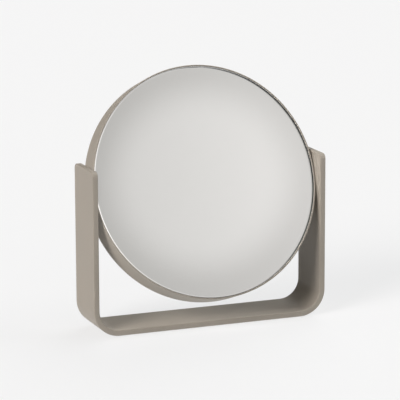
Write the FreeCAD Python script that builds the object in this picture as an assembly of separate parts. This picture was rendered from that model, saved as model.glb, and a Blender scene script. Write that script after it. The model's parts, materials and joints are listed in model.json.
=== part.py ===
import FreeCAD, Part
import os
from math import cos, pi, sin, sqrt, tan

# A tabletop vanity mirror: a deep round ring with a flat glass in front and a concave, magnifying
# glass behind, which tilts between the arms of a stand bent from one flat strap.
#
# Millimetres. X runs to the viewer's right, Y away from the viewer and Z up. The origin is on the
# surface that the feet stand on, below the middle of the stand.

Vector = FreeCAD.Vector

# Stand: one flat strap bent to a U
overall_width = 190.0  # over the outer faces of the two arms
strap_thickness = 4.4
strap_width = 41.6  # front to back
bend_radius = 16.0  # inside of each bend
arm_corner_radius = 4.2  # the two corners at the top of each arm
strap_edge_radius = 0.6  # softening of every long edge
arm_above_pivot = 19.7  # from the tilt axis to the top of the arm
swing_clearance = 12.3  # from the strap to the ring when the ring stands on edge

# Feet: round non-slip pads
foot_radius = 5.0
foot_thickness = 0.8
foot_side_margin = 2.5  # from the pad to the start of the softened edge
foot_end_margin = 8.0  # from the pad to the start of the bend

# Ring: a rolled section with a lip round each glass and two fins that the glasses bear on
ring_gap = 0.25  # between the ring and each arm
lip_thickness = 1.3
channel_wall = 2.6  # wall between the two fins
fin_width = 3.5  # from the inside of the lip to the edge of the fin
fin_thickness = 2.0
ring_edge_radius = 0.6  # outer edges of the ring
lip_chamfer = 0.3  # inner edges of both lips

# Glass
glass_recess = 0.15  # from the edge of the lip down to the glass
glass_play = 0.15  # between the rim of the glass and the lip
front_glass_thickness = 3.0
polished_edge = 1.1  # rounded, polished edge of the front glass
arris = 0.4  # small flat ground on every other edge of a glass
rear_glass_thickness = 2.5
magnifier_radius = 600.0  # radius of the concave face
bond_thickness = 1.0  # foam tape under each glass, where it is thinnest
bond_margin = 0.3  # from the tape to the edges of the fin
spacer_radius = 45.0
spacer_gap = 0.3  # from the foam disc to the magnifying glass

# Tilt
rest_tilt = 19.7  # degrees that the front glass looks up

# Pivots: a shoulder screw on each side, driven from inside the ring into the arm
shoulder_radius = 2.0
thread_radius = 1.5
insert_radius = 3.0
insert_floor = 1.1  # strap that is left behind the threaded insert
insert_groove = 0.35
thread_end_gap = 0.3  # from the end of the thread to the end of its hole
bush_radius = 3.0
bush_flange_radius = 4.5
bush_flange_thickness = 1.0
channel_clearance = 0.25  # from the flange of the bush to each fin
inner_spot_depth = 0.15  # flat that the bush seats on
washer_radius = 6.0  # friction washer between ring and arm
washer_seat_depth = 0.9  # flat-bottomed seat in the outside of the ring
washer_seat_play = 0.15
bearing_step = 0.1  # each washer is this much smaller, in radius, than what it bears on
thrust_thickness = 0.5
wave_sheet = 0.25
wave_height = 0.9  # the spring as fitted
wave_crests = 3
head_height = 2.0
head_chamfer = 0.5
socket_across_flats = 2.0
socket_depth = 1.2

# Clearances that several pieces share
running_gap = 0.05  # radial, shoulder in bush
sliding_gap = 0.05  # between flat faces that turn on each other
loose_gap = 0.15  # radial, washers on the shoulder
thread_gap = 0.05  # radial, plain thread in plain insert
wave_touch = 0.02  # from each crest of the spring to its neighbour

# Places that follow from the sizes
arm_inside = overall_width / 2 - strap_thickness
ring_radius = arm_inside - ring_gap
lip_inside = ring_radius - lip_thickness
channel_inside = ring_radius - channel_wall
fin_inside = lip_inside - fin_width
glass_radius = lip_inside - glass_play
ground_radius = glass_radius - arris  # where the ground flats start
channel_half = bush_flange_radius + channel_clearance
thrust_radius = bush_flange_radius - bearing_step
wave_radius = thrust_radius - bearing_step
head_radius = wave_radius
front_ledge = -(channel_half + fin_thickness)
rear_ledge = channel_half + fin_thickness
front_glass_back = front_ledge - bond_thickness
front_glass_face = front_glass_back - front_glass_thickness
front_plane = front_glass_face - glass_recess
magnifier_back_radius = magnifier_radius + rear_glass_thickness
bond_inner_radius = fin_inside + bond_margin
bond_outer_radius = lip_inside - bond_margin
magnifier_centre = rear_ledge + bond_thickness + sqrt(magnifier_back_radius**2 - bond_inner_radius**2)
rear_glass_rim = magnifier_centre - sqrt(magnifier_radius**2 - ground_radius**2)
rear_plane = rear_glass_rim + glass_recess
swing_radius = sqrt(ring_radius**2 + max(-front_plane, rear_plane) ** 2)
strap_top = foot_thickness + strap_thickness
pivot_height = strap_top + swing_clearance + swing_radius
arm_top = pivot_height + arm_above_pivot

# Stations along X from the arm towards the middle, on the right-hand pivot
insert_end = arm_inside + strap_thickness - insert_floor
washer_seat = ring_radius - washer_seat_depth
bush_seat = channel_inside + inner_spot_depth
flange_face = bush_seat - bush_flange_thickness
thrust_outer_face = flange_face - sliding_gap
thrust_inner_face = thrust_outer_face - thrust_thickness
head_seat = thrust_inner_face - wave_height
head_end = head_seat - head_height


def rounded_outline(corners):
    """Closed wire through corners given as (point, rounding radius), 0 for a sharp one."""
    arcs = []
    trimmed = []
    for index, (corner, radius) in enumerate(corners):
        to_before = (corners[index - 1][0] - corner).normalize()
        to_after = (corners[(index + 1) % len(corners)][0] - corner).normalize()
        half_angle = to_before.getAngle(to_after) / 2
        run = radius / tan(half_angle)
        start = corner + to_before * run
        end = corner + to_after * run
        trimmed.append((start, end))
        if radius > 0:
            inward = (to_before + to_after).normalize()
            middle = corner + inward * (radius / sin(half_angle) - radius)
            arcs.append(Part.Arc(start, middle, end).toShape())
    sides = []
    for index, (start, end) in enumerate(trimmed):
        previous_end = trimmed[index - 1][1]
        if previous_end.distanceToPoint(start) > 1e-6:
            sides.append(Part.LineSegment(previous_end, start).toShape())
    return Part.Wire(Part.__sortEdges__(arcs + sides))


def turned_about_y(corners):
    """Solid of revolution about the mirror's own axis from corners (radius, depth, rounding)."""
    outline = rounded_outline([(Vector(radius, depth, 0), rounding) for radius, depth, rounding in corners])
    return Part.Face(outline).revolve(Vector(0, 0, 0), Vector(0, 1, 0), 360)


def turned_about_x(corners):
    """Solid of revolution about the tilt axis from corners (station, radius, rounding)."""
    outline = rounded_outline([(Vector(station, radius, 0), rounding) for station, radius, rounding in corners])
    solid = Part.Face(outline).revolve(Vector(0, 0, 0), Vector(1, 0, 0), 360)
    return solid.translated(Vector(0, 0, pivot_height))


def tube_about_x(start, end, inner_radius, outer_radius):
    """Plain washer or tube on the tilt axis."""
    return turned_about_x(
        [
            (start, inner_radius, 0),
            (end, inner_radius, 0),
            (end, outer_radius, 0),
            (start, outer_radius, 0),
        ]
    )


def rod_about_x(start, end, radius):
    """Plain cylinder on the tilt axis."""
    return Part.makeCylinder(radius, end - start, Vector(start, 0, pivot_height), Vector(1, 0, 0))


def hung_in_stand(shape):
    """Moves a piece from the mirror's own axes to its tilted place between the arms."""
    hung = shape.translated(Vector(0, 0, pivot_height))
    hung.rotate(Vector(0, 0, pivot_height), Vector(1, 0, 0), -rest_tilt)
    return hung


def tilted(shape):
    """Turns a piece that already lies on the tilt axis with the mirror."""
    turned = shape.copy()
    turned.rotate(Vector(0, 0, pivot_height), Vector(1, 0, 0), -rest_tilt)
    return turned


def on_left(shape):
    """The left-hand twin of a right-hand piece."""
    return shape.mirror(Vector(0, 0, 0), Vector(1, 0, 0))


def sharp_edges(shape):
    """Edges where two faces meet at an angle, without the smooth joints between tangent faces."""
    found = []
    for edge in shape.Edges:
        middle = edge.valueAt((edge.FirstParameter + edge.LastParameter) / 2)
        normals = []
        for face in shape.ancestorsOfType(edge, Part.Face):
            u, v = face.Surface.parameter(middle)
            normals.append(face.normalAt(u, v))
        if len(normals) == 2 and normals[0].getAngle(normals[1]) > 0.1:
            found.append(edge)
    return found


def make_stand_strap():
    """Flat strap bent to a U, with rounded arm tops, softened edges and a blind seat in each arm."""
    half_width = overall_width / 2
    front = -strap_width / 2
    outer_bend = bend_radius + strap_thickness
    outline = rounded_outline(
        [
            (Vector(-half_width, front, arm_top), 0),
            (Vector(-half_width, front, foot_thickness), outer_bend),
            (Vector(half_width, front, foot_thickness), outer_bend),
            (Vector(half_width, front, arm_top), 0),
            (Vector(arm_inside, front, arm_top), 0),
            (Vector(arm_inside, front, strap_top), bend_radius),
            (Vector(-arm_inside, front, strap_top), bend_radius),
            (Vector(-arm_inside, front, arm_top), 0),
        ]
    )
    strap = Part.Face(outline).extrude(Vector(0, strap_width, 0))
    arm_corners = []
    for edge in strap.Edges:
        across_strap = abs(edge.BoundBox.XLength - strap_thickness) < 1e-6
        if across_strap and edge.BoundBox.ZMin > arm_top - 1e-6:
            arm_corners.append(edge)
    strap = strap.makeFillet(arm_corner_radius, arm_corners)
    strap = strap.makeFillet(min(strap_edge_radius, 0.45 * strap_thickness), sharp_edges(strap))
    seat = rod_about_x(arm_inside - strap_thickness, insert_end, insert_radius)
    return strap.cut(seat).cut(on_left(seat))


def make_foot(side, end):
    """Round non-slip pad under one corner of the strap."""
    flat_half = arm_inside - bend_radius
    x = side * (flat_half - foot_end_margin - foot_radius)
    y = end * (strap_width / 2 - strap_edge_radius - foot_side_margin - foot_radius)
    return Part.makeCylinder(foot_radius, foot_thickness, Vector(x, y, 0))


def make_ring_band():
    """Rolled ring section with two lips and two fins, drilled and spot-faced for the pivots."""
    fin_front_inner = front_ledge + fin_thickness
    fin_rear_inner = rear_ledge - fin_thickness
    ring = turned_about_y(
        [
            (lip_inside, front_plane + lip_chamfer, 0),
            (lip_inside + lip_chamfer, front_plane, 0),
            (ring_radius, front_plane, ring_edge_radius),
            (ring_radius, rear_plane, ring_edge_radius),
            (lip_inside + lip_chamfer, rear_plane, 0),
            (lip_inside, rear_plane - lip_chamfer, 0),
            (lip_inside, rear_ledge, 0),
            (fin_inside, rear_ledge, 0),
            (fin_inside, fin_rear_inner, 0),
            (channel_inside, fin_rear_inner, 0),
            (channel_inside, fin_front_inner, 0),
            (fin_inside, fin_front_inner, 0),
            (fin_inside, front_ledge, 0),
            (lip_inside, front_ledge, 0),
        ]
    )
    ring = hung_in_stand(ring)
    cutters = [
        rod_about_x(flange_face, washer_seat, bush_radius),
        rod_about_x(flange_face, bush_seat, channel_half),
        rod_about_x(washer_seat, arm_inside, washer_radius + washer_seat_play),
    ]
    for cutter in cutters:
        ring = ring.cut(cutter).cut(on_left(cutter))
    return ring


def make_front_glass():
    """Flat mirror glass with a rounded, polished front edge."""
    glass = turned_about_y(
        [
            (0, front_glass_back, 0),
            (ground_radius, front_glass_back, 0),
            (glass_radius, front_glass_back - arris, 0),
            (glass_radius, front_glass_face, min(polished_edge, front_glass_thickness - arris)),
            (0, front_glass_face, 0),
        ]
    )
    return hung_in_stand(glass)


def dish_depth(dish_radius, radius):
    """Depth coordinate, at a distance from the axis, of a sphere about the magnifier's centre."""
    return magnifier_centre - sqrt(dish_radius**2 - radius**2)


def dish_arc(dish_radius, inner_radius, outer_radius):
    """Arc of that sphere between two distances from the axis."""
    stations = (inner_radius, (inner_radius + outer_radius) / 2, outer_radius)
    points = [Vector(radius, dish_depth(dish_radius, radius), 0) for radius in stations]
    return Part.Arc(*points).toShape()


def make_magnifying_glass():
    """Slumped glass of even thickness whose concave face looks back, with a ground rim."""
    face_arc = dish_arc(magnifier_radius, 0, ground_radius)
    back_arc = dish_arc(magnifier_back_radius, 0, ground_radius)
    face_start, face_end = (vertex.Point for vertex in face_arc.Vertexes)
    back_start, back_end = (vertex.Point for vertex in back_arc.Vertexes)
    rim = Part.makePolygon(
        [
            back_end,
            Vector(glass_radius, back_end.y + arris, 0),
            Vector(glass_radius, face_end.y - arris, 0),
            face_end,
        ]
    )
    axis = Part.LineSegment(face_start, back_start).toShape()
    outline = Part.Wire(Part.__sortEdges__([face_arc, back_arc, axis] + rim.Edges))
    glass = Part.Face(outline).revolve(Vector(0, 0, 0), Vector(0, 1, 0), 360)
    return hung_in_stand(glass)


def make_front_bond_ring():
    """Foam tape between the front fin and the flat glass."""
    tape = turned_about_y(
        [
            (bond_inner_radius, front_ledge, 0),
            (bond_outer_radius, front_ledge, 0),
            (bond_outer_radius, front_glass_back, 0),
            (bond_inner_radius, front_glass_back, 0),
        ]
    )
    return hung_in_stand(tape)


def make_rear_bond_ring():
    """Foam tape between the rear fin and the domed back of the magnifying glass."""
    dome = dish_arc(magnifier_back_radius, bond_inner_radius, bond_outer_radius)
    inner_foot = Vector(bond_inner_radius, rear_ledge, 0)
    outer_foot = Vector(bond_outer_radius, rear_ledge, 0)
    sides = [
        Part.LineSegment(inner_foot, dome.Vertexes[0].Point).toShape(),
        Part.LineSegment(dome.Vertexes[1].Point, outer_foot).toShape(),
        Part.LineSegment(outer_foot, inner_foot).toShape(),
    ]
    outline = Part.Wire(Part.__sortEdges__([dome] + sides))
    tape = Part.Face(outline).revolve(Vector(0, 0, 0), Vector(0, 1, 0), 360)
    return hung_in_stand(tape)


def make_foam_spacer():
    """Foam disc on the back of the flat glass, just short of the magnifying glass."""
    free_end = dish_depth(magnifier_back_radius, 0) - spacer_gap
    spacer = turned_about_y(
        [
            (0, front_glass_back, 0),
            (spacer_radius, front_glass_back, 0),
            (spacer_radius, free_end, 0),
            (0, free_end, 0),
        ]
    )
    return hung_in_stand(spacer)


def make_pivot_insert():
    """Threaded insert pressed into the blind seat in the arm, with a retaining groove round it."""
    bore_radius = thread_radius + thread_gap
    third = (insert_end - arm_inside) / 3
    groove_radius = insert_radius - insert_groove
    return turned_about_x(
        [
            (arm_inside, bore_radius, 0),
            (insert_end, bore_radius, 0),
            (insert_end, insert_radius, 0),
            (insert_end - third, insert_radius, 0),
            (insert_end - third, groove_radius, 0),
            (arm_inside + third, groove_radius, 0),
            (arm_inside + third, insert_radius, 0),
            (arm_inside, insert_radius, 0),
        ]
    )


def make_pivot_screw():
    """Shoulder screw: chamfered head with a hexagon socket, plain shoulder, and thread."""
    thread_end = insert_end - thread_end_gap
    screw = turned_about_x(
        [
            (head_end, 0, 0),
            (head_end, head_radius - head_chamfer, 0),
            (head_end + head_chamfer, head_radius, 0),
            (head_seat, head_radius, 0),
            (head_seat, shoulder_radius, 0),
            (arm_inside, shoulder_radius, 0),
            (arm_inside, thread_radius, 0),
            (thread_end, thread_radius, 0),
            (thread_end, 0, 0),
        ]
    )
    corner_radius = socket_across_flats / 2 / cos(pi / 6)
    corners = []
    for step in range(7):
        angle = step * pi / 3
        corners.append(Vector(head_end, corner_radius * cos(angle), pivot_height + corner_radius * sin(angle)))
    socket = Part.Face(Part.makePolygon(corners)).extrude(Vector(socket_depth, 0, 0))
    return screw.cut(socket)


def make_pivot_bush():
    """Flanged plastic bush, pressed into the ring from inside, that turns on the shoulder."""
    bore_radius = shoulder_radius + running_gap
    return turned_about_x(
        [
            (flange_face, bore_radius, 0),
            (washer_seat, bore_radius, 0),
            (washer_seat, bush_radius, 0),
            (bush_seat, bush_radius, 0),
            (bush_seat, bush_flange_radius, 0),
            (flange_face, bush_flange_radius, 0),
        ]
    )


def make_friction_washer():
    """Plastic washer that fills the space between the ring and the arm."""
    return tube_about_x(washer_seat, arm_inside - sliding_gap, shoulder_radius + loose_gap, washer_radius)


def make_thrust_washer():
    """Steel washer that the flange of the bush turns against."""
    return tube_about_x(thrust_inner_face, thrust_outer_face, shoulder_radius + loose_gap, thrust_radius)


def wave_rim(radius, station, swing):
    """Closed curve on a cylinder round the tilt axis that waves along the axis as a cosine."""
    points = []
    steps = 12 * wave_crests
    for step in range(steps):
        angle = 2 * pi * step / steps
        along = station + swing * cos(wave_crests * angle)
        points.append(Vector(along, radius * cos(angle), pivot_height + radius * sin(angle)))
    curve = Part.BSplineCurve()
    curve.interpolate(Points=points, PeriodicFlag=True)
    return curve.toShape()


def make_wave_washer():
    """Wave spring: a thin ring whose crests bear on the thrust washer and on the screw head."""
    inner_radius = shoulder_radius + loose_gap
    middle = (head_seat + thrust_inner_face) / 2
    swing = (wave_height - wave_sheet) / 2 - wave_touch
    rims = {}
    for face, offset in (("low", -wave_sheet / 2), ("high", wave_sheet / 2)):
        rims[face, "inner"] = wave_rim(inner_radius, middle + offset, swing)
        rims[face, "outer"] = wave_rim(wave_radius, middle + offset, swing)
    faces = [
        Part.makeRuledSurface(rims["low", "inner"], rims["low", "outer"]),
        Part.makeRuledSurface(rims["high", "inner"], rims["high", "outer"]),
        Part.makeRuledSurface(rims["low", "inner"], rims["high", "inner"]),
        Part.makeRuledSurface(rims["low", "outer"], rims["high", "outer"]),
    ]
    shell = Part.makeShell(faces)
    shell.sewShape()
    spring = Part.makeSolid(shell)
    if spring.Volume < 0:
        spring.reverse()
    return spring


def build():
    """Every piece of the mirror by name."""
    pieces = {
        "stand_strap": make_stand_strap(),
        "ring_band": make_ring_band(),
        "front_glass": make_front_glass(),
        "front_bond_ring": make_front_bond_ring(),
        "magnifying_glass": make_magnifying_glass(),
        "rear_bond_ring": make_rear_bond_ring(),
        "foam_spacer": make_foam_spacer(),
    }
    for end_name, end in (("front", -1), ("rear", 1)):
        for side_name, side in (("left", -1), ("right", 1)):
            pieces[f"foot_{end_name}_{side_name}"] = make_foot(side, end)
    right_pivot = {
        "pivot_insert": make_pivot_insert(),
        "pivot_screw": make_pivot_screw(),
        "wave_washer": make_wave_washer(),
        "thrust_washer": make_thrust_washer(),
        "pivot_bush": tilted(make_pivot_bush()),
        "friction_washer": tilted(make_friction_washer()),
    }
    for name, piece in right_pivot.items():
        pieces[f"right_{name}"] = piece
        pieces[f"left_{name}"] = on_left(piece)
    return pieces


os.makedirs("parts", exist_ok=True)
for piece_name, piece_shape in build().items():
    piece_shape.exportStep(f"parts/{piece_name}.step")
print(f"ring {2 * ring_radius:.2f} across and {rear_plane - front_plane:.2f} deep")
print(f"tilt axis at {pivot_height:.2f}, arms to {arm_top:.2f}")
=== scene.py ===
# %% [markdown]
# # A tilting vanity mirror
#
# The real object is a deep steel ring with a flat glass in front and a magnifying glass behind. It
# turns on two hidden pivots between the arms of a stand, and the stand is one flat strap bent to a U.
# Strap and ring share a satin powder coat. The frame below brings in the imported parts, which fix the
# outer sizes and all places. This file gives them smooth surfaces, finishes, light and a camera.

# %% Frame
import json
from math import cos, pi, radians, sin

import bmesh
import bpy
import numpy as np
from mathutils import Matrix, Vector


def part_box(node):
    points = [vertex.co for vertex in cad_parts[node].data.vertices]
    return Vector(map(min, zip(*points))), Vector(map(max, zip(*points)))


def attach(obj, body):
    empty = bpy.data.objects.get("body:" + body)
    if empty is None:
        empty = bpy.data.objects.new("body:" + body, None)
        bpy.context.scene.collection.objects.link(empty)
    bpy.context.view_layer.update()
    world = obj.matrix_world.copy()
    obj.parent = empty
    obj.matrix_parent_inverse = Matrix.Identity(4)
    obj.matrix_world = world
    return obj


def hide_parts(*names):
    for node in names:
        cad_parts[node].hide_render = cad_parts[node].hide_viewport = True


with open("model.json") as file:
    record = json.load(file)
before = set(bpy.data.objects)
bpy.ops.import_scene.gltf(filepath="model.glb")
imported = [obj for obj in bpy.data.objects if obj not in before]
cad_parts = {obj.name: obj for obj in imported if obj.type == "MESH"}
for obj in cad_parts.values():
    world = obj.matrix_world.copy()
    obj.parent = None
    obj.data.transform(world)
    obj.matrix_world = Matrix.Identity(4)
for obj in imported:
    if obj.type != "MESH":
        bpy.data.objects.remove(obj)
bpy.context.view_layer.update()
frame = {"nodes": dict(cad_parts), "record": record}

# %% [markdown]
# ## Sizes, read from the frame
#
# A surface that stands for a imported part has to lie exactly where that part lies. So the main sizes are
# not typed again: they are measured on the parts. A part of the mirror is tilted, so its points are
# first turned back into the mirror's own axes, where the front glass faces straight along -Y. Only what
# no outer size shows, such as a rounding, is typed as a number, in the cell that needs it.

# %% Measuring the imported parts
MM = 0.001
REST_TILT = radians(19.7)  # the front glass looks up by this much

screw_low, screw_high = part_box("right_pivot_screw")
PIVOT_HEIGHT = (screw_low.z + screw_high.z) / 2  # the tilt axis runs along X at this height
print(f"the tilt axis is {PIVOT_HEIGHT / MM:.2f} mm above the table")


def measured(part):
    """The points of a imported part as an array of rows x, y, z."""
    vertices = frame["nodes"][part].data.vertices
    points = np.empty(len(vertices) * 3)
    vertices.foreach_get("co", points)
    return points.reshape(-1, 3)


def turn_about_x(points, angle):
    """Rotation about X: y' = y cos a - z sin a and z' = y sin a + z cos a."""
    x, y, z = np.moveaxis(points, -1, 0)
    return np.stack([x, y * cos(angle) - z * sin(angle), y * sin(angle) + z * cos(angle)], -1)


def in_mirror_axes(part):
    """Radius and depth of a part's points: tilt undone about the pivot, radius measured from the Y axis."""
    centred = measured(part) - [0, 0, PIVOT_HEIGHT]
    x, depth, z = turn_about_x(centred, REST_TILT).T
    return np.hypot(x, z), depth


# %% [markdown]
# ## From a grid of points to a mesh
#
# Every surface here is a function of two parameters, worked out as one array of points: rows follow the
# first parameter and columns the second. Neighbouring points make the quads. A direction that closes on
# itself is joined to its own start. Where a whole row falls on one point, as at the middle of a disc,
# merging the doubled points leaves clean triangles.

# %% Grid to mesh
MERGE_DISTANCE = 1e-7  # metres


def surface(name, points, close_rows=False, close_columns=False):
    """Mesh object with a quad between points [i, j], [i+1, j], [i+1, j+1] and [i, j+1], faces outwards."""
    rows, columns = points.shape[:2]
    index = np.arange(rows * columns).reshape(rows, columns)
    if close_rows:
        index = np.vstack([index, index[:1]])
    if close_columns:
        index = np.hstack([index, index[:, :1]])
    quads = np.stack([index[:-1, :-1], index[1:, :-1], index[1:, 1:], index[:-1, 1:]], -1)
    mesh = bpy.data.meshes.new(name)
    mesh.from_pydata(points.reshape(-1, 3).tolist(), [], quads.reshape(-1, 4).tolist())
    edited = bmesh.new()
    edited.from_mesh(mesh)
    bmesh.ops.remove_doubles(edited, verts=edited.verts, dist=MERGE_DISTANCE)
    bmesh.ops.recalc_face_normals(edited, faces=edited.faces)
    edited.to_mesh(mesh)
    edited.free()
    mesh.shade_smooth()
    piece = bpy.data.objects.new(name, mesh)
    bpy.context.scene.collection.objects.link(piece)
    print(f"{name}: {len(mesh.polygons)} faces")
    return piece


# %% [markdown]
# ## Sections with rounded corners
#
# The ring, the glasses and the feet are all turned shapes. Each starts as a flat section: a list of
# corners, each with its own rounding. A rounding is an arc that touches both sides of its corner. One
# extra point on each side, just outside the arc, keeps the flat parts flat when the mesh is shaded
# smooth: without it, the bend in the shading would spread over the whole flat face.

# %% Sections
ARC_STEPS = 7
SUPPORT = 0.12 * MM  # from the end of an arc to its extra point
HAIRLINE = 0.05 * MM  # rounding of edges that are left sharp, and the least gap between two faces


def unit(vector):
    """The same direction at length 1."""
    return vector / np.linalg.norm(vector)


def rounded_section(corners):
    """Points of a closed section. A corner P has unit vectors a and b along its two sides, and half its
    angle is h. Its rounding r is an arc about C = P + (a + b)/|a + b| * r / sin(h), which runs from
    P + a*r/tan(h) to P + b*r/tan(h). With s and e for those ends, seen from C and w apart, the arc is
    C + (s sin((1-t) w) + e sin(t w)) / sin(w), for t from 0 to 1."""
    tips = np.array([corner[:2] for corner in corners], float)
    roundings = [corner[2] for corner in corners]
    points = []
    for tip, before, after, radius in zip(tips, np.roll(tips, 1, 0), np.roll(tips, -1, 0), roundings):
        if radius == 0:
            points.append(tip)
            continue
        back, onward = unit(before - tip), unit(after - tip)
        half = np.arccos(back @ onward) / 2
        run = radius / np.tan(half)
        centre = tip + unit(back + onward) * radius / np.sin(half)
        start, end = tip + back * run - centre, tip + onward * run - centre
        spread = pi - 2 * half
        t = np.linspace(0, 1, ARC_STEPS)[:, None]
        arc = centre + (start * np.sin((1 - t) * spread) + end * np.sin(t * spread)) / np.sin(spread)
        points += [tip + back * (run + SUPPORT), *arc, tip + onward * (run + SUPPORT)]
    return np.array(points)


def turned(section, steps):
    """Surface of revolution about Y: (radius, depth) becomes (radius cos a, depth, radius sin a)."""
    angle = np.linspace(0, 2 * pi, steps, endpoint=False)[:, None]
    radius, depth = section.T
    return np.stack([radius * np.cos(angle), depth + 0 * angle, radius * np.sin(angle)], -1)


def hung(points):
    """From the mirror's own axes to its place in the stand: tilted about X, then raised to the pivot."""
    return turn_about_x(points, -REST_TILT) + [0, 0, PIVOT_HEIGHT]


# %% [markdown]
# ## The stand: one flat strap
#
# A workshop cuts a flat strip, rounds its corners, softens its edges and only then bends it twice. The
# surface is made the same way. First comes a flat plate: one parameter runs round its outline, the
# other crosses from the middle line of the top face, over the softened edge, to the middle line of the
# bottom face. Then every point is carried along the bent middle line of the strap. That keeps the edge
# even all the way round the bends, where a bevel on a bent box would pinch.

# %% Sizes of the strap
BEND_RADIUS = 16.0 * MM  # inside of each bend
ARM_CORNER = 4.2 * MM  # rounded corners at the top of each arm
STRAP_EDGE = 0.6 * MM  # softened edges

strap_low, strap_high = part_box("stand_strap")
ARM_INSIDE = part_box("right_pivot_insert")[0].x
STRAP_THICKNESS = strap_high.x - ARM_INSIDE
BAR_MIDDLE = strap_low.z + STRAP_THICKNESS / 2  # height of the bar's middle plane
HALF_WIDTH = (strap_high.y - strap_low.y) / 2
FLAT_HALF = ARM_INSIDE - BEND_RADIUS
MID_RADIUS = BEND_RADIUS + STRAP_THICKNESS / 2
BEND_LENGTH = MID_RADIUS * pi / 2
ARM_LENGTH = strap_high.z - (strap_low.z + STRAP_THICKNESS + BEND_RADIUS)
HALF_LENGTH = FLAT_HALF + BEND_LENGTH + ARM_LENGTH
print(f"strap {2 * HALF_WIDTH / MM:.2f} mm wide and {STRAP_THICKNESS / MM:.2f} mm thick")
print(f"the flat strip is {2 * HALF_LENGTH / MM:.1f} mm long before it is bent")

# %% Flat plate
BAR_STEPS, BEND_STEPS, ARM_STEPS, CORNER_STEPS, END_STEPS = 25, 33, 21, 13, 9
FACE_SHARES = np.array([0.0, 0.35, 0.7, 0.92])  # from the middle line out to the softened edge


def plate_outline():
    """Rounded rectangle in the flat strip, as points (along, across), with its outward normals. One
    quarter is drawn, then mirrored across the strip and along it."""
    along = np.concatenate(
        [
            np.linspace(0, FLAT_HALF, BAR_STEPS)[:-1],
            np.linspace(FLAT_HALF, FLAT_HALF + BEND_LENGTH, BEND_STEPS)[:-1],
            np.linspace(FLAT_HALF + BEND_LENGTH, HALF_LENGTH - ARM_CORNER, ARM_STEPS),
        ]
    )
    quarter = np.linspace(0, pi / 2, CORNER_STEPS)[1:]
    turn = np.stack([np.sin(quarter), np.cos(quarter)], -1)
    corner = turn * ARM_CORNER + [HALF_LENGTH - ARM_CORNER, HALF_WIDTH - ARM_CORNER]
    end = np.linspace(HALF_WIDTH - ARM_CORNER, 0, END_STEPS)[1:]
    side = np.stack([along, np.full_like(along, HALF_WIDTH)], -1)
    tip = np.stack([np.full_like(end, HALF_LENGTH), end], -1)
    points = np.concatenate([side, corner, tip])
    normals = np.concatenate([np.tile([0.0, 1.0], (len(side), 1)), turn, np.tile([1.0, 0.0], (len(tip), 1))])
    crosswise = ([1.0, -1.0], slice(-2, None, -1))  # signs, and which points are mirrored, in turn
    lengthwise = ([-1.0, 1.0], slice(-2, 0, -1))
    for signs, twins in (crosswise, lengthwise):
        points = np.concatenate([points, points[twins] * signs])
        normals = np.concatenate([normals, normals[twins] * signs])
    return points, normals


def edge_profile():
    """Inset from the outline and height over the middle plane, from the top face round to the bottom."""
    turn = np.linspace(0, pi / 2, ARC_STEPS)
    inset = STRAP_EDGE * (1 - np.sin(turn))
    height = STRAP_THICKNESS / 2 - STRAP_EDGE * (1 - np.cos(turn))
    inset = np.concatenate([[STRAP_EDGE + SUPPORT], inset])
    height = np.concatenate([[STRAP_THICKNESS / 2], height])
    return np.concatenate([inset, inset[::-1]]), np.concatenate([height, -height[::-1]])


def flat_plate():
    """Grid over the plate: outline point - normal * inset near the edge, and on each face a straight
    line from there to the nearest point of the middle line, which ends half a width from each tip."""
    points, normals = plate_outline()
    inset, height = edge_profile()
    rim = points[:, None] - normals[:, None] * inset[:, None]
    reach = HALF_LENGTH - HALF_WIDTH
    middle = np.stack([np.clip(points[:, 0], -reach, reach), np.zeros(len(points))], -1)[:, None]
    face = middle + (rim[:, :1] - middle) * FACE_SHARES[:, None]
    plan = np.concatenate([face, rim, face[:, ::-1]], 1)
    top = np.full(len(FACE_SHARES), STRAP_THICKNESS / 2)
    heights = np.concatenate([top, height, -top])
    return plan, np.broadcast_to(heights, plan.shape[:2])


# %% Bending the plate
def bent(plan, height):
    """Carries (along, across, height) onto the U. With a the turn of the middle line at that length,
    x = flat part + (radius + height) sin a, z = centre - (radius + height) cos a, and past the bend
    the rest of the length runs straight up. Height counts outwards, away from the mirror."""
    along, across = plan[..., 0], plan[..., 1]
    side, length = np.sign(along), np.abs(along)
    angle = np.clip((length - FLAT_HALF) / MID_RADIUS, 0, pi / 2)
    rise = np.clip(length - FLAT_HALF - BEND_LENGTH, 0, None)
    x = np.minimum(length, FLAT_HALF) + (MID_RADIUS + height) * np.sin(angle)
    z = BAR_MIDDLE + MID_RADIUS - (MID_RADIUS + height) * np.cos(angle) + rise
    return np.stack([side * x, across, z], -1)


strap = surface("bent_strap", bent(*flat_plate()), close_rows=True)
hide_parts("stand_strap")
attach(strap, "stand")

# %% [markdown]
# ## Calm reflections
#
# The stand is so close to the mirror that its own dark image would fill part of the glass. On a real
# set the view would be moved until it is gone. Here the object's ray visibility does it: with glossy
# and transmission off, reflected rays and rays through glass pass the object, and the glass shows the
# studio alone. The object itself still shows, and its shadow too.

# %% Out of the reflections
def keep_out_of_reflections(item):
    """Hides the object from reflected rays and from rays through glass."""
    item.visible_glossy = False
    item.visible_transmission = False
    print(f"{item.name}: out of the reflections")


keep_out_of_reflections(strap)

# %% [markdown]
# ## The feet
#
# Four thin pads keep the strap off the table. A cylinder with a bevel would do for each, but the helpers
# for a turned section are at hand, and they give the moulded edge its own rounding below and leave the
# glued edge above sharp.

# %% Feet
PAD_STEPS = 64
PAD_EDGE = 0.15 * MM  # moulded rounding of the lower edge


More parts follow.
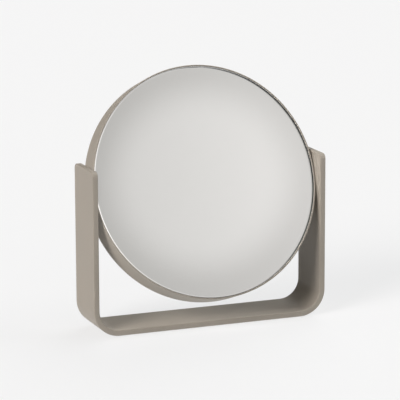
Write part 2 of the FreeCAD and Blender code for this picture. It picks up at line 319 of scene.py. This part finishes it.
def make_pad(foot):
    """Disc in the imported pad's box: turned about Y, then its axis is set upright."""
    low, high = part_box(foot)
    middle = (low + high) / 2
    radius, thickness = (high.x - low.x) / 2, high.z - low.z
    corners = [(0, 0, 0), (radius, 0, PAD_EDGE), (radius, thickness, HAIRLINE), (0, thickness, 0)]
    x, y, z = np.moveaxis(turned(rounded_section(corners), PAD_STEPS), -1, 0)
    upright = np.stack([x + middle.x, z + middle.y, y + low.z], -1)
    pad = surface(foot.replace("foot", "pad"), upright, close_rows=True)
    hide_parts(foot)
    keep_out_of_reflections(pad)
    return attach(pad, "stand")


pads = [make_pad(f"foot_{end}_{side}") for end in ("front", "rear") for side in ("left", "right")]

# %% [markdown]
# ## The ring
#
# The ring is rolled from one section: a thin lip round each glass, two fins that the glasses are
# bonded to, and a channel between them for the heads of the pivot screws. It could be cut from a
# cylinder step by step. But a section turned about the mirror's own axis gives exactly that in one
# array, and every rounding comes with it. The ring is the same in front and behind.

# %% Sizes of the ring
RING_EDGE = 0.6 * MM  # outer edges
LIP_EDGE = 0.3 * MM  # inner edges of the lips that frame the glasses
LIP_THICKNESS = 1.0 * MM
CHANNEL_WALL = 2.6 * MM  # wall between the two fins
FIN_WIDTH = 3.5 * MM
FIN_THICKNESS = 2.0 * MM

ring_radii, ring_depths = in_mirror_axes("ring_band")
RING_RADIUS = ring_radii.max()
RING_FRONT, RING_REAR = ring_depths.min(), ring_depths.max()
_, bond_depths = in_mirror_axes("front_bond_ring")
FRONT_LEDGE = bond_depths.max()
REAR_LEDGE = -FRONT_LEDGE
LIP_INSIDE = RING_RADIUS - LIP_THICKNESS
FIN_INSIDE = LIP_INSIDE - FIN_WIDTH
CHANNEL_INSIDE = RING_RADIUS - CHANNEL_WALL
print(f"ring {2 * RING_RADIUS / MM:.2f} mm across and {(RING_REAR - RING_FRONT) / MM:.2f} mm deep")

# %% Ring
RING_STEPS = 288


def ring_section():
    """Corners (radius, depth, rounding) from the front lip over the outer wall and back inside."""
    front = [
        (FIN_INSIDE, FRONT_LEDGE + FIN_THICKNESS, HAIRLINE),
        (FIN_INSIDE, FRONT_LEDGE, HAIRLINE),
        (LIP_INSIDE, FRONT_LEDGE, HAIRLINE),
        (LIP_INSIDE, RING_FRONT, LIP_EDGE),
        (RING_RADIUS, RING_FRONT, RING_EDGE),
    ]
    rear = [
        (RING_RADIUS, RING_REAR, RING_EDGE),
        (LIP_INSIDE, RING_REAR, LIP_EDGE),
        (LIP_INSIDE, REAR_LEDGE, HAIRLINE),
        (FIN_INSIDE, REAR_LEDGE, HAIRLINE),
        (FIN_INSIDE, REAR_LEDGE - FIN_THICKNESS, HAIRLINE),
    ]
    channel = [
        (CHANNEL_INSIDE, REAR_LEDGE - FIN_THICKNESS, HAIRLINE),
        (CHANNEL_INSIDE, FRONT_LEDGE + FIN_THICKNESS, HAIRLINE),
    ]
    return rounded_section(front + rear + channel)


ring_points = hung(turned(ring_section(), RING_STEPS))
ring = surface("rolled_ring", ring_points, close_rows=True, close_columns=True)
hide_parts("ring_band")
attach(ring, "mirror")

# %% [markdown]
# ## The two glasses
#
# The front glass is a flat disc whose rim is ground round and polished, so it bends what it shows into
# a thin line inside the ring, bright on one side and dark on the other. The rear glass is slumped over
# a sphere, so both its faces are parts of spheres: at radius r the face lies at depth
# c - sqrt(R^2 - r^2), which is what makes it magnify. A flat picture of a mirror would not do for
# either, because the light has to pass through real thickness at the rim. So both are turned sections
# like the ring's. The back of each glass stands off its foam tape by a hairline, because a ray can't
# tell apart two faces that lie in one plane.

# %% Front glass
GLASS_STEPS = 288
GLASS_GAP = 0.05 * MM  # between the rim of a glass and its lip
POLISHED_EDGE = 0.9 * MM  # rounding of the rim at the face that is looked into
ARRIS = 0.15 * MM  # and at the back

GLASS_RADIUS = LIP_INSIDE - GLASS_GAP
_, glass_depths = in_mirror_axes("front_glass")
GLASS_FRONT, GLASS_BACK = glass_depths.min(), glass_depths.max()
print(f"glasses {2 * GLASS_RADIUS / MM:.2f} mm across")
print(f"the flat glass is {(GLASS_BACK - GLASS_FRONT) / MM:.2f} mm thick")

flat_section = rounded_section(
    [
        (0, GLASS_BACK - HAIRLINE, 0),
        (GLASS_RADIUS, GLASS_BACK - HAIRLINE, ARRIS),
        (GLASS_RADIUS, GLASS_FRONT, POLISHED_EDGE),
        (0, GLASS_FRONT, 0),
    ]
)
flat_glass = surface("flat_mirror", hung(turned(flat_section, GLASS_STEPS)), close_rows=True)
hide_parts("front_glass")
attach(flat_glass, "mirror")

# %% Magnifying glass
DISH_RINGS = 40
MAGNIFIER_RADIUS = 600.0 * MM  # the concave face is part of a sphere this large
NEAR_AXIS = 0.02  # share of the glass's radius within which a point counts as on its axis

dish_radii, dish_depths = in_mirror_axes("magnifying_glass")
on_axis = dish_depths[dish_radii < NEAR_AXIS * GLASS_RADIUS]
DISH_THICKNESS = on_axis.max() - on_axis.min()
SPHERE_CENTRE = on_axis.max() + MAGNIFIER_RADIUS
print(f"the magnifying glass is {DISH_THICKNESS / MM:.2f} mm thick in its middle")


def dish_section():
    """Section of the slumped glass: the outer back face, the rim, and the concave face to the axis."""
    radius = np.linspace(0, GLASS_RADIUS, DISH_RINGS)
    face = SPHERE_CENTRE - np.sqrt(MAGNIFIER_RADIUS**2 - radius**2)
    back = SPHERE_CENTRE - np.sqrt((MAGNIFIER_RADIUS + DISH_THICKNESS) ** 2 - radius**2)
    at_rim = radius == GLASS_RADIUS
    outward = np.stack([radius, back + HAIRLINE, np.where(at_rim, ARRIS, 0)], -1)
    inward = np.stack([radius, face, np.where(at_rim, POLISHED_EDGE, 0)], -1)[::-1]
    return rounded_section(np.concatenate([outward, inward]).tolist())


dish = surface("magnifying_mirror", hung(turned(dish_section(), GLASS_STEPS)), close_rows=True)
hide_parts("magnifying_glass")
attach(dish, "mirror")

# %% [markdown]
# ## Effects that several finishes share
#
# No real surface is one even colour, nor quite smooth. Powder coat cures with a slight orange peel,
# moulded rubber has a fine grain and turned metal has rings from the tool. The nodes for each could be
# copied from material to material, but then a change would have to be made in every copy. So each such
# effect is one node group with named inputs and outputs, built once and placed in every material that
# needs it with its own values.

# %% Node helpers
def new_group(name, inputs, outputs):
    """Node group with inputs (label, kind, value) and outputs (label, kind), where a kind is Float, Color
    or Vector. Gives back the tree, the sockets that bring its inputs in, and its output node."""
    group = bpy.data.node_groups.new(name, "ShaderNodeTree")
    for label, kind, value in inputs:
        socket = group.interface.new_socket(label, in_out="INPUT", socket_type="NodeSocket" + kind)
        socket.default_value = value
    for label, kind in outputs:
        group.interface.new_socket(label, in_out="OUTPUT", socket_type="NodeSocket" + kind)
    print(f"effect {name}: {len(inputs)} inputs, {len(outputs)} outputs")
    given, result = group.nodes.new("NodeGroupInput"), group.nodes.new("NodeGroupOutput")
    return group, given.outputs, result


def node(tree, kind, feeds=(), **settings):
    """New node. Each feed is (socket of the new node, what goes in), which is another node's output or a
    plain value. Settings name the node's properties or, with _ for a space, its sockets."""
    made = tree.nodes.new("ShaderNode" + kind)
    for name, value in settings.items():
        if hasattr(made, name):
            setattr(made, name, value)
        else:
            made.inputs[name.replace("_", " ")].default_value = value
    for socket, source in feeds:
        if isinstance(source, bpy.types.NodeSocket):
            tree.links.new(source, made.inputs[socket])
        else:
            made.inputs[socket].default_value = source
    return made


def maths(tree, operation, *sources):
    """Output of a Math node."""
    return node(tree, "Math", enumerate(sources), operation=operation).outputs[0]


def noise(tree, vector, scale, detail):
    """Output of a noise texture, where detail is the number of finer layers on top."""
    return node(tree, "TexNoise", [("Vector", vector), ("Scale", scale)], Detail=detail).outputs[0]


# %% Mixing helpers
# A Mix node has sockets of the same names for each kind of value, so they are told apart by number. In
# turn: first value, second value, result.
MIX_SOCKETS = {"FLOAT": (2, 3, 0), "RGBA": (6, 7, 2)}


def mix(tree, kind, share, first, second):
    """Output that goes from first to second as share goes from 0 to 1."""
    first_socket, second_socket, result = MIX_SOCKETS[kind]
    feeds = [(0, share), (first_socket, first), (second_socket, second)]
    return node(tree, "Mix", feeds, data_type=kind).outputs[result]


def mix_shaders(tree, share, first, second):
    """Shader that goes from first to second as share goes from 0 to 1."""
    return node(tree, "MixShader", [(0, share), (1, first), (2, second)]).outputs[0]


# %% Effect: grain
FINER = 3.7  # fine grains for each coarse one, along a line


def make_grain_group():
    """Height of a surface with two sizes of grain: coarse * share + fine * (1 - share)."""
    tree, given, result = new_group(
        "two_size_grain",
        [
            ("Vector", "Vector", (0, 0, 0)),
            ("Grains per metre", "Float", 1000.0),
            ("Coarse share", "Float", 0.6),
        ],
        [("Height", "Float")],
    )
    fine_grains = maths(tree, "MULTIPLY", given["Grains per metre"], FINER)
    coarse = noise(tree, given["Vector"], given["Grains per metre"], detail=2.0)
    fine = noise(tree, given["Vector"], fine_grains, detail=3.0)
    height = mix(tree, "FLOAT", given["Coarse share"], fine, coarse)
    tree.links.new(height, result.inputs["Height"])
    return tree


grain_group = make_grain_group()

# %% Effect: mottle
CLOUD_LOW, CLOUD_HIGH = 0.3, 0.7  # a noise texture seldom goes past these


def make_mottle_group():
    """Slow change between two colours, which keeps a large face from looking printed."""
    tree, given, result = new_group(
        "slow_mottle",
        [
            ("Vector", "Vector", (0, 0, 0)),
            ("Patches per metre", "Float", 20.0),
            ("Darker", "Color", (0, 0, 0, 1)),
            ("Lighter", "Color", (1, 1, 1, 1)),
        ],
        [("Color", "Color"), ("Mask", "Float")],
    )
    cloud = noise(tree, given["Vector"], given["Patches per metre"], detail=3.0)
    mask = node(tree, "MapRange", [("Value", cloud)], From_Min=CLOUD_LOW, From_Max=CLOUD_HIGH).outputs[0]
    colour = mix(tree, "RGBA", mask, given["Darker"], given["Lighter"])
    tree.links.new(colour, result.inputs["Color"])
    tree.links.new(mask, result.inputs["Mask"])
    return tree


mottle_group = make_mottle_group()

# %% Effect: tool rings
ACROSS_X = (0, 1, 1)  # keeps what lies across the X axis


def make_ring_group():
    """Fine rings about the X axis of the given vector, as a lathe leaves them: a wave on the radius."""
    tree, given, result = new_group(
        "tool_rings",
        [("Vector", "Vector", (0, 0, 0)), ("Rings per metre", "Float", 4000.0)],
        [("Height", "Float")],
    )
    across = node(tree, "VectorMath", [(0, given["Vector"]), (1, ACROSS_X)], operation="MULTIPLY")
    radius = node(tree, "VectorMath", [(0, across.outputs[0])], operation="LENGTH")
    phase = maths(tree, "MULTIPLY", radius.outputs["Value"], given["Rings per metre"])
    tree.links.new(maths(tree, "SINE", phase), result.inputs["Height"])
    return tree


ring_group = make_ring_group()

# %% Material helpers
def place(tree, group, vector, **values):
    """The group inside a material, with the vector joined and its own values set."""
    placed = tree.nodes.new("ShaderNodeGroup")
    placed.node_tree = group
    tree.links.new(vector, placed.inputs["Vector"])
    for label, value in values.items():
        placed.inputs[label.replace("_", " ")].default_value = value
    return placed


def new_material(name, **values):
    """Material with a Principled BSDF and Object coordinates. The values are set on the shader itself."""
    material = bpy.data.materials.new(name)
    material.use_nodes = True
    tree = material.node_tree
    shader = tree.nodes["Principled BSDF"]
    for label, value in values.items():
        shader.inputs[label.replace("_", " ")].default_value = value
    print(f"finish {name}")
    return material, tree, shader, tree.nodes.new("ShaderNodeTexCoord").outputs["Object"]


def colour_from_mottle(tree, shader, where, colours, patches):
    """Base colour that drifts between a darker and a lighter tone, in so many patches per metre. Gives
    back the mottle's mask."""
    darker, lighter = colours
    mottle = place(tree, mottle_group, where, Patches_per_metre=patches, Darker=darker, Lighter=lighter)
    tree.links.new(mottle.outputs["Color"], shader.inputs["Base Color"])
    return mottle.outputs["Mask"]


def bump(tree, shader, height, relief, strength):
    """Turns a height into a normal. The relief is the real depth, in metres."""
    made = node(tree, "Bump", [("Height", height)], Distance=relief, Strength=strength)
    tree.links.new(made.outputs[0], shader.inputs["Normal"])


# %% [markdown]
# ## Powder coat
#
# Strap and ring carry the same satin taupe powder coat. Powder melts into a skin that is smooth to the
# hand but never quite level, so the gloss is broad and soft. A picture of such a coat could be wrapped
# round the pieces, but noise in Object coordinates has no seams and needs no unwrapping. A fine grain
# drives the bump, a slow mottle moves the colour by a few percent, and the same mottle moves the
# roughness a little.

# %% Powder coat
TAUPE = ((0.380, 0.342, 0.292, 1), (0.400, 0.360, 0.308, 1))  # darker, lighter


def make_powder_coat():
    """Satin coat: grain in the bump, mottle in the colour and the roughness."""
    material, tree, shader, where = new_material("powder_coat", IOR=1.5, Specular_IOR_Level=0.25)
    mask = colour_from_mottle(tree, shader, where, TAUPE, patches=28.0)
    rough = node(tree, "MapRange", [("Value", mask)], To_Min=0.46, To_Max=0.52)
    tree.links.new(rough.outputs[0], shader.inputs["Roughness"])
    grain = place(tree, grain_group, where, Grains_per_metre=900.0, Coarse_share=0.7)
    bump(tree, shader, grain.outputs["Height"], relief=0.02 * MM, strength=0.5)
    return material


# %% [markdown]
# ## Mirror glass
#
# A mirror is clear glass with silver on its back. So light passes through the glass twice, and the
# image lies a little deeper than the face. A single shiny disc would be simpler, but it has no depth at
# its rim, where the polished edge gathers the view into a thin line, bright towards the soft box and
# dark towards the corners of the room. So each glass is one closed mesh with two finishes: the faces
# of its back, out to the rim, get the silver and all others the clear glass.

# %% Mirror glass
CLEAR = ((0.985, 0.988, 0.98, 1), (0.99, 0.99, 0.985, 1))  # darker, lighter
SILVER = ((0.915, 0.91, 0.908, 1), (0.92, 0.915, 0.913, 1))


def make_clear_glass():
    """Float glass, clear all through."""
    material, tree, shader, where = new_material(
        "clear_glass", IOR=1.52, Roughness=0.0, Transmission_Weight=1.0
    )
    colour_from_mottle(tree, shader, where, CLEAR, patches=12.0)
    return material


def make_silver():
    """The bright metal behind the glass."""
    material, tree, shader, where = new_material("silver", Metallic=1.0, Roughness=0.012)
    colour_from_mottle(tree, shader, where, SILVER, patches=12.0)
    return material


# %% [markdown]
# ## Hidden and small finishes
#
# The pivots, the foam and the pads hardly show, but they are seen when the mirror is taken apart or
# turned over. One plain grey for all would be quicker, but steel, brass, plastic and foam are told
# apart by their finish alone. So each gets its own from the same effects: tool rings on turned metal,
# grain on what is moulded or foamed.

# %% Small finishes
STEEL = ((0.55, 0.56, 0.57, 1), (0.63, 0.64, 0.65, 1))  # darker, lighter
BRASS = ((0.70, 0.54, 0.26, 1), (0.80, 0.64, 0.34, 1))
PLASTIC = ((0.76, 0.76, 0.73, 1), (0.82, 0.82, 0.79, 1))
FOAM = ((0.03, 0.03, 0.03, 1), (0.06, 0.06, 0.06, 1))
RUBBER = ((0.10, 0.095, 0.09, 1), (0.13, 0.125, 0.12, 1))


def make_turned_metal(name, colours, roughness):
    """Bare metal with tool rings about the tilt axis."""
    material, tree, shader, where = new_material(name, Metallic=1.0, Roughness=roughness)
    axis = [("Vector", where), ("Location", (0, 0, PIVOT_HEIGHT))]
    centred = node(tree, "Mapping", axis, vector_type="TEXTURE")
    rings = place(tree, ring_group, centred.outputs[0], Rings_per_metre=30000.0)
    colour_from_mottle(tree, shader, where, colours, patches=400.0)
    bump(tree, shader, rings.outputs["Height"], relief=0.004 * MM, strength=0.4)
    return material


def make_grained(name, colours, roughness, grains, relief):
    """Moulded or foamed material with a grained skin: grains per metre, relief in metres."""
    material, tree, shader, where = new_material(name, Roughness=roughness)
    colour_from_mottle(tree, shader, where, colours, patches=120.0)
    grain = place(tree, grain_group, where, Grains_per_metre=grains, Coarse_share=0.4)
    bump(tree, shader, grain.outputs["Height"], relief, strength=0.8)
    return material


# %% Every piece gets its finish
finishes = {
    "powder_coat": make_powder_coat(),
    "pivot_steel": make_turned_metal("pivot_steel", STEEL, roughness=0.28),
    "brass_insert": make_turned_metal("brass_insert", BRASS, roughness=0.3),
    "pivot_plastic": make_grained("pivot_plastic", PLASTIC, roughness=0.4, grains=6000.0, relief=0.01 * MM),
    "foam": make_grained("foam", FOAM, roughness=0.9, grains=2500.0, relief=0.3 * MM),
    "foot_rubber": make_grained("foot_rubber", RUBBER, roughness=0.7, grains=5000.0, relief=0.03 * MM),
}


def coat(piece, material):
    """One material over the whole piece."""
    piece.data.materials.clear()
    piece.data.materials.append(material)


for piece in (strap, ring):
    coat(piece, finishes["powder_coat"])
for piece in pads:
    coat(piece, finishes["foot_rubber"])

# %% [markdown]
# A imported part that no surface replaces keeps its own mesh, and its slot in the record says which
# finish it gets. The glasses come last, because they are the only pieces with two finishes.

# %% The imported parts
slots = {entry["node"]: entry["material_slot"] for entry in frame["record"]["subparts"]}
for name, part in frame["nodes"].items():
    if slots[name] in finishes:
        coat(part, finishes[slots[name]])
print("slots in the record:", sorted(set(slots.values())))

# %% Silver on the glasses
SILVERED_LEAN = 0.3  # a face counts as back when this much of its normal points backwards

clear_glass, silver = make_clear_glass(), make_silver()


def silver_the_back(glass, towards_back):
    """Clear glass all over, then silver on the faces of the back. towards_back is +1 or -1, the way
    that the back looks along the mirror's own Y axis."""
    coat(glass, clear_glass)
    glass.data.materials.append(silver)
    normals = np.empty(len(glass.data.polygons) * 3)
    glass.data.polygons.foreach_get("normal", normals)
    backwards = turn_about_x(normals.reshape(-1, 3), REST_TILT)[:, 1] * towards_back
    silvered = backwards > SILVERED_LEAN
    glass.data.polygons.foreach_set("material_index", silvered.astype(np.int32))
    print(f"{glass.name}: {silvered.sum()} faces are silvered")


silver_the_back(flat_glass, 1)
silver_the_back(dish, -1)

# %% [markdown]
# ## Light, floor and camera
#
# The object is lit as in a small studio. One soft box stands low at the front left and gives the
# shadows their direction, weaker lamps fill in from the front, the right and the back, and the pale
# table throws light up from below.
#
# Mirrors need more than lamps: a mirror is only as good as what it reflects. So reflected rays see a
# studio of their own, built from soft glows: the soft box, a large pale wall at the front right, a
# dimmer one in front, the pale room on either side, the backdrop, and dark corners between them that
# give the polished edge its contrast. A picture of a room could be wrapped round the world instead. But
# a glow is a smooth function of direction, so it is moved or dimmed by one number, and it has no
# outline. Only the window on the pale wall has one, and that is soft.
#
# A soft box is far brighter than white, and a mirror that faces it would turn plain white. So where the
# glass shows the soft box directly, it is a milder one. The satin coat still gets the full glow, and so
# does the light that the mirror throws on matt faces.

# %% Effect: soft glow
def make_glow_group():
    """Glow of a soft light seen in direction v: tint * exp(sharpness * (dot(v, towards) - 1))."""
    tree, given, result = new_group(
        "soft_glow",
        [
            ("Vector", "Vector", (0, 0, 1)),
            ("Towards", "Vector", (0, 0, 1)),
            ("Sharpness", "Float", 8.0),
            ("Tint", "Color", (1, 1, 1, 1)),
        ],
        [("Color", "Color")],
    )
    directions = [(0, given["Vector"]), (1, given["Towards"])]
    aligned = node(tree, "VectorMath", directions, operation="DOT_PRODUCT")
    short = maths(tree, "SUBTRACT", aligned.outputs["Value"], 1.0)
    power = maths(tree, "MULTIPLY", short, given["Sharpness"])
    share = maths(tree, "EXPONENT", power)
    tinted = node(tree, "VectorMath", [(0, given["Tint"]), ("Scale", share)], operation="SCALE")
    tree.links.new(tinted.outputs[0], result.inputs["Color"])
    return tree


glow_group = make_glow_group()

# %% Directions and tones
def direction_from(compass, height):
    """Unit vector towards a place given in degrees: -Y at 0 of the compass, -X at 90, +Z at height 90."""
    around, above = radians(compass), radians(height)
    return np.array([-sin(around) * cos(above), -cos(around) * cos(above), sin(above)])


def grey(tone):
    """Opaque colour of one even tone."""
    return (tone, tone, tone, 1)


# %% The studio in the reflections
DARK_CORNER = 0.05  # what a mirror sees between the glows
# Each glow has compass and height in degrees, sharpness and tint.
SOFT_BOX = (63, 29, 12.0, (11.8, 11.5, 11.1, 1))
SOFT_BOX_IN_MIRROR = (63, 29, 6.0, (0.605, 0.6, 0.595, 1))
GLOWS = [
    (-33.7, 23.4, 30.0, (0.582, 0.573, 0.568, 1)),  # pale wall at the front right
    (-50, 24, 30.0, (0.95, 0.91, 0.865, 1)),  # its brighter end
    (5, 28, 20.0, (0.395, 0.395, 0.35, 1)),  # a second, dimmer wall in front
    (3, 4, 20.0, (0.35, 0.35, 0.34, 1)),  # pale room below it
    (60, 5, 6.0, (0.8, 0.79, 0.78, 1)),  # pale room on the left
    (-58, 6, 12.0, (0.2, 0.2, 0.195, 1)),  # and on the right
    (-95, 10, 4.0, (0.2, 0.2, 0.195, 1)),  # and further round
    (165, 0, 3.0, (0.15, 0.15, 0.147, 1)),  # backdrop
]
WINDOW = (-23.4, 24.8)  # compass and height in degrees of a brighter patch on the pale wall
WINDOW_INNER, WINDOW_OUTER = radians(1.35), radians(2.52)  # from its middle, where its soft edge runs
WINDOW_GAIN = 0.17


def place_glow(tree, direction, compass, height, sharpness, tint):
    """Colour of one glow in the given direction."""
    glow = place(tree, glow_group, direction, Sharpness=sharpness, Tint=tint)
    glow.inputs["Towards"].default_value = direction_from(compass, height).tolist()
    return glow.outputs["Color"]


def add_up(tree, colours):
    """Sum of several colours, one node for each that is added."""
    total = colours[0]
    for colour in colours[1:]:
        total = node(tree, "VectorMath", [(0, total), (1, colour)], operation="ADD").outputs[0]
    return total


def make_window(tree, direction):
    """Brightness of the window: a smooth step on the cosine of the angle from its middle."""
    directions = [(0, direction), (1, direction_from(*WINDOW).tolist())]
    aligned = node(tree, "VectorMath", directions, operation="DOT_PRODUCT")
    step = node(
        tree,
        "MapRange",
        [("Value", aligned.outputs["Value"])],
        interpolation_type="SMOOTHSTEP",
        From_Min=cos(WINDOW_OUTER),
        From_Max=cos(WINDOW_INNER),
        To_Max=WINDOW_GAIN,
    )
    return step.outputs[0]


def studio(tree, direction, in_mirror):
    """Colour of the studio that reflected rays see. Where in_mirror is 1, the soft box is the mild one."""
    corners = node(tree, "RGB").outputs[0]
    corners.default_value = grey(DARK_CORNER)
    full, mild = [place_glow(tree, direction, *values) for values in (SOFT_BOX, SOFT_BOX_IN_MIRROR)]
    box = mix(tree, "RGBA", in_mirror, full, mild)
    glows = [place_glow(tree, direction, *values) for values in GLOWS]
    return add_up(tree, [corners, box, *glows, make_window(tree, direction)])


print(f"the reflected studio has {len(GLOWS)} glows, a soft box and a window")

# %% World
PALE = 0.92  # the background's tone
UNDERLIGHT = (0, -90, 4.0, grey(1.9))  # light thrown up by the table, a glow from straight below
FIRST_MATT_BOUNCE = 0.5  # the count of matt bounces is 0 before the first and 1 after it


def make_world():
    """Three skies in one: the plain background for the camera, the studio for reflected rays and rays
    through glass, and for matt bounces only the light from below. A ray is in_mirror when it comes
    straight out of clear glass and has met no matt face."""
    world = bpy.data.worlds.new("pale_studio")
    bpy.context.scene.world = world
    world.use_nodes = True
    tree = world.node_tree
    tree.nodes.clear()
    rays = tree.nodes.new("ShaderNodeLightPath").outputs
    direction = tree.nodes.new("ShaderNodeTexCoord").outputs["Generated"]
    unscattered = maths(tree, "LESS_THAN", rays["Diffuse Depth"], FIRST_MATT_BOUNCE)
    in_mirror = maths(tree, "MULTIPLY", unscattered, rays["Is Singular Ray"])
    skies = (place_glow(tree, direction, *UNDERLIGHT), studio(tree, direction, in_mirror), grey(PALE))
    below, mirrored, plain = [node(tree, "Background", [("Color", sky)]).outputs[0] for sky in skies]
    reflected = maths(tree, "MAXIMUM", rays["Is Glossy Ray"], rays["Is Transmission Ray"])
    bounced = mix_shaders(tree, reflected, below, mirrored)
    final = mix_shaders(tree, rays["Is Camera Ray"], bounced, plain)
    tree.links.new(final, tree.nodes.new("ShaderNodeOutputWorld").inputs["Surface"])
    print(f"world {world.name}: background tone {PALE}")


make_world()

# %% [markdown]
# Area lamps would look most like a studio, but each would need a size and a distance as well. A sun
# needs only a direction, a width and a strength, and lights the whole object evenly. Its width is what
# softens the shadows: a wide sun is a large soft box.

# %% Lamps
WARM, EVEN = (1.0, 0.963, 0.94), (0.985, 1.0, 1.01)  # light of the soft box and of the fills
SUNS = [
    # name, compass, height and width in degrees, strength, colour
    ("soft_box", 63, 28.5, 30, 2.77, WARM),
    ("front_fill", 0, 40, 45, 0.5, EVEN),
    ("right_fill", -80, 30, 45, 1.56, EVEN),
    ("back_fill", -140, 40, 45, 1.32, EVEN),
]


def make_sun(name, compass, height, width, strength, colour):
    """Soft lamp far off. Reflected rays don't see it, because the world holds its glow."""
    lamp = bpy.data.lights.new(name, "SUN")
    lamp.energy = strength
    lamp.color = colour
    lamp.angle = radians(width)
    holder = bpy.data.objects.new(name, lamp)
    towards = Vector(direction_from(compass, height).tolist())
    holder.rotation_euler = towards.to_track_quat("Z", "Y").to_euler()
    holder.location = towards
    keep_out_of_reflections(holder)
    bpy.context.scene.collection.objects.link(holder)


for sun in SUNS:
    make_sun(*sun)

# %% [markdown]
# The floor has the tone of the background, so no horizon shows. What the camera and the reflections see
# of it is mostly its own even glow, and the rest is its real shading, which keeps a light shadow under
# the object. The glow is worked out from the lamps so that the two add up to the background's tone. The
# light that the floor throws up at the object comes from the world instead, evenly, so the floor itself
# is left out of the diffuse bounces.

# %% Floor
FLOOR_HALF = 6.0  # metres from the middle to each side
FLOOR_COLOUR = 0.92  # what it gives back of the light that falls on it
SHADING_SHARE = 0.25  # of what is seen, the part that is real shading

sunlit = FLOOR_COLOUR * sum(strength * sin(radians(height)) for _, _, height, _, strength, _ in SUNS) / pi
FLOOR_GLOW = (PALE - SHADING_SHARE * sunlit) / (1 - SHADING_SHARE)
print(f"floor: lit to {sunlit:.3f} by the lamps, so its own glow is {FLOOR_GLOW:.3f}")


def make_floor():
    """Flat square at height 0, with its own glow wherever it is looked at."""
    corners = [(-1, -1), (1, -1), (1, 1), (-1, 1)]
    mesh = bpy.data.meshes.new("floor")
    mesh.from_pydata([(x * FLOOR_HALF, y * FLOOR_HALF, 0) for x, y in corners], [], [(0, 1, 2, 3)])
    floor = bpy.data.objects.new("floor", mesh)
    bpy.context.scene.collection.objects.link(floor)
    floor.visible_diffuse = False
    floor.visible_shadow = False
    material, tree, shader, _ = new_material(
        "floor", Roughness=0.9, Base_Color=grey(FLOOR_COLOUR), Specular_IOR_Level=0.0
    )
    shading = shader.outputs[0]
    even = node(tree, "Emission", Color=grey(FLOOR_GLOW)).outputs[0]
    rays = tree.nodes.new("ShaderNodeLightPath").outputs
    reflected = maths(tree, "MAXIMUM", rays["Is Glossy Ray"], rays["Is Transmission Ray"])
    looked_at = maths(tree, "MAXIMUM", reflected, rays["Is Camera Ray"])
    final = mix_shaders(tree, looked_at, shading, mix_shaders(tree, SHADING_SHARE, even, shading))
    tree.links.new(final, tree.nodes["Material Output"].inputs["Surface"])
    coat(floor, material)


make_floor()

# %% [markdown]
# A small object looks calm through a long lens from a distance: the two arms stay nearly parallel, and
# the round ring stays an even ellipse. The camera's place is worked out from a compass direction and a
# height, as the lamps' are, so it can be walked round the object by changing one number.

# %% Camera
VIEW_COMPASS, VIEW_HEIGHT, VIEW_ROLL = 21.59, 12.27, -0.2  # degrees
VIEW_DISTANCE = 1.904  # metres from the target
VIEW_LENS = 223.7  # millimetres
VIEW_TARGET = np.array([-0.001, 0.0, 0.0956])


def make_camera():
    """Camera on a sphere round the target. It looks along -Z of its own axes with +Y up."""
    back = direction_from(VIEW_COMPASS, VIEW_HEIGHT)
    right = unit(np.cross(-back, [0, 0, 1]))
    up = np.cross(right, -back)
    roll = radians(VIEW_ROLL)
    rolled_right = cos(roll) * right + sin(roll) * up
    rolled_up = cos(roll) * up - sin(roll) * right
    camera = bpy.data.cameras.new("camera")
    camera.lens = VIEW_LENS
    holder = bpy.data.objects.new("camera", camera)
    holder.matrix_world = Matrix(np.array([rolled_right, rolled_up, back]).T.tolist()).to_4x4()
    holder.location = (VIEW_TARGET + back * VIEW_DISTANCE).tolist()
    bpy.context.scene.collection.objects.link(holder)
    bpy.context.scene.camera = holder
    print("the camera stands at, in metres,", np.round(holder.location, 3).tolist())


make_camera()
bpy.context.scene.view_settings.view_transform = "Standard"
